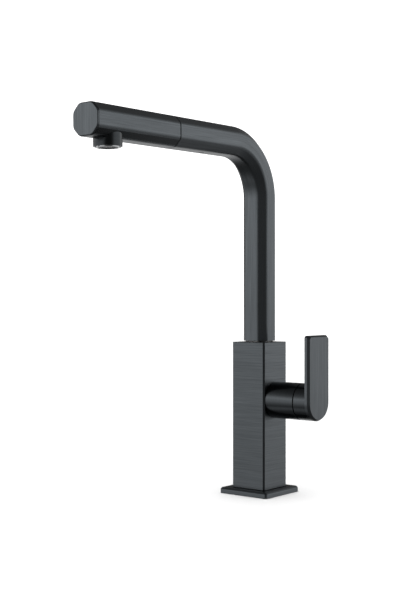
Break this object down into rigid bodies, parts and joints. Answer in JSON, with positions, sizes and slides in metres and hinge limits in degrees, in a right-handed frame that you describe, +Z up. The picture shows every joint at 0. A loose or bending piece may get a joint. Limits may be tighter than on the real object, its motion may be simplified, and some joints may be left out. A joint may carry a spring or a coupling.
{
  "type": "kitchen mixer tap",
  "caption": "Square single-lever kitchen mixer tap with a swivelling chamfered-square spout, a pull-out spray head at the end of its level arm and a flat side lever.",
  "frame": {"origin": "centre of the tap hole, on the worktop's surface, on the axis the spout swivels about", "axes": "+Z up, -Y the way the spout reaches, +X the lever's side"},
  "size_m": [0.1029, 0.2835, 0.4469],
  "materials": {
    "gunmetal_steel": "brushed, dark grey coating",
    "plain_steel": "turned",
    "machined_brass": "machined",
    "copper_tube": "drawn copper tube",
    "zinc_plated_steel": "zinc plated",
    "chrome_ring": "polished",
    "black_rubber": "moulded",
    "black_acetal": "moulded",
    "white_polymer": "moulded",
    "alumina_ceramic": "ground and lapped ceramic",
    "braided_hose": "braided nylon over rubber"
  },
  "bodies": {
    "column": {"base_plate": "gunmetal_steel", "base_gasket": "black_rubber", "threaded_shank": "machined_brass", "rubber_washer": "black_rubber", "metal_washer": "zinc_plated_steel", "shank_nut": "machined_brass", "column_body": "gunmetal_steel", "valve_core": "machined_brass", "hot_supply_tail": "copper_tube", "cold_supply_tail": "copper_tube", "mixed_outlet_tail": "copper_tube", "lower_swivel_bush": "black_acetal", "upper_swivel_bush": "black_acetal", "slip_ring": "black_acetal", "swivel_stop_screw": "zinc_plated_steel", "hose_shank_run": "braided_hose", "cartridge_housing": "gunmetal_steel", "cartridge_base_seal": "black_rubber", "cartridge_shell": "white_polymer", "fixed_ceramic_disc": "alumina_ceramic", "cartridge_nut": "machined_brass", "dome_ring": "black_acetal"},
    "spout": {"spout_tube": "gunmetal_steel", "swivel_sleeve": "plain_steel", "swivel_friction_ring": "black_rubber", "docking_sleeve": "black_acetal", "docking_sleeve_screw": "zinc_plated_steel", "hose_riser_run": "braided_hose"},
    "head": {"head_shell": "gunmetal_steel", "head_end_cap": "gunmetal_steel", "docking_spigot": "white_polymer", "docking_o_ring": "black_rubber", "hose_head_run": "braided_hose", "hose_ferrule": "zinc_plated_steel", "hose_nut": "machined_brass", "head_waterway": "white_polymer", "check_valve": "black_acetal", "aerator_washer": "black_rubber", "aerator_ring": "chrome_ring", "aerator_insert": "white_polymer"},
    "rotor": {"cartridge_rotor": "black_acetal", "stem_pivot_pin": "zinc_plated_steel"},
    "disc": {"moving_ceramic_disc": "alumina_ceramic", "disc_carrier": "black_acetal"},
    "lever": {"handle_lever": "gunmetal_steel", "cartridge_stem": "zinc_plated_steel", "lever_grub_screw": "zinc_plated_steel", "lever_screw_plug": "black_rubber"}
  },
  "joints": [
    {"name": "spout_swivel", "type": "hinge", "parent": "column", "child": "spout", "pos_m": [0, 0, 0], "axis": [0, 0, 1], "range_deg": [-60, 60]},
    {"name": "head_pull", "type": "slide", "parent": "spout", "child": "head", "axis": [0, -0.9998, -0.0175], "range_m": [0, 0.4], "stiffness_N_per_m": 4, "springref_m": -1.2},
    {"name": "temperature_turn", "type": "hinge", "parent": "column", "child": "rotor", "pos_m": [0, 0, 0.097], "axis": [1, 0, 0], "range_deg": [-45, 45]},
    {"name": "flow_lift", "type": "hinge", "parent": "rotor", "child": "lever", "pos_m": [0.046, 0, 0.097], "axis": [0, 1, 0], "range_deg": [0, 25]},
    {"name": "disc_slide", "type": "slide", "parent": "rotor", "child": "disc", "axis": [0, 0, 1], "range_m": [0, 0.0043]}
  ],
  "couplings": [
    {"joint": "disc_slide", "follows": "flow_lift", "m_per_rad": 0.0096}
  ]
}
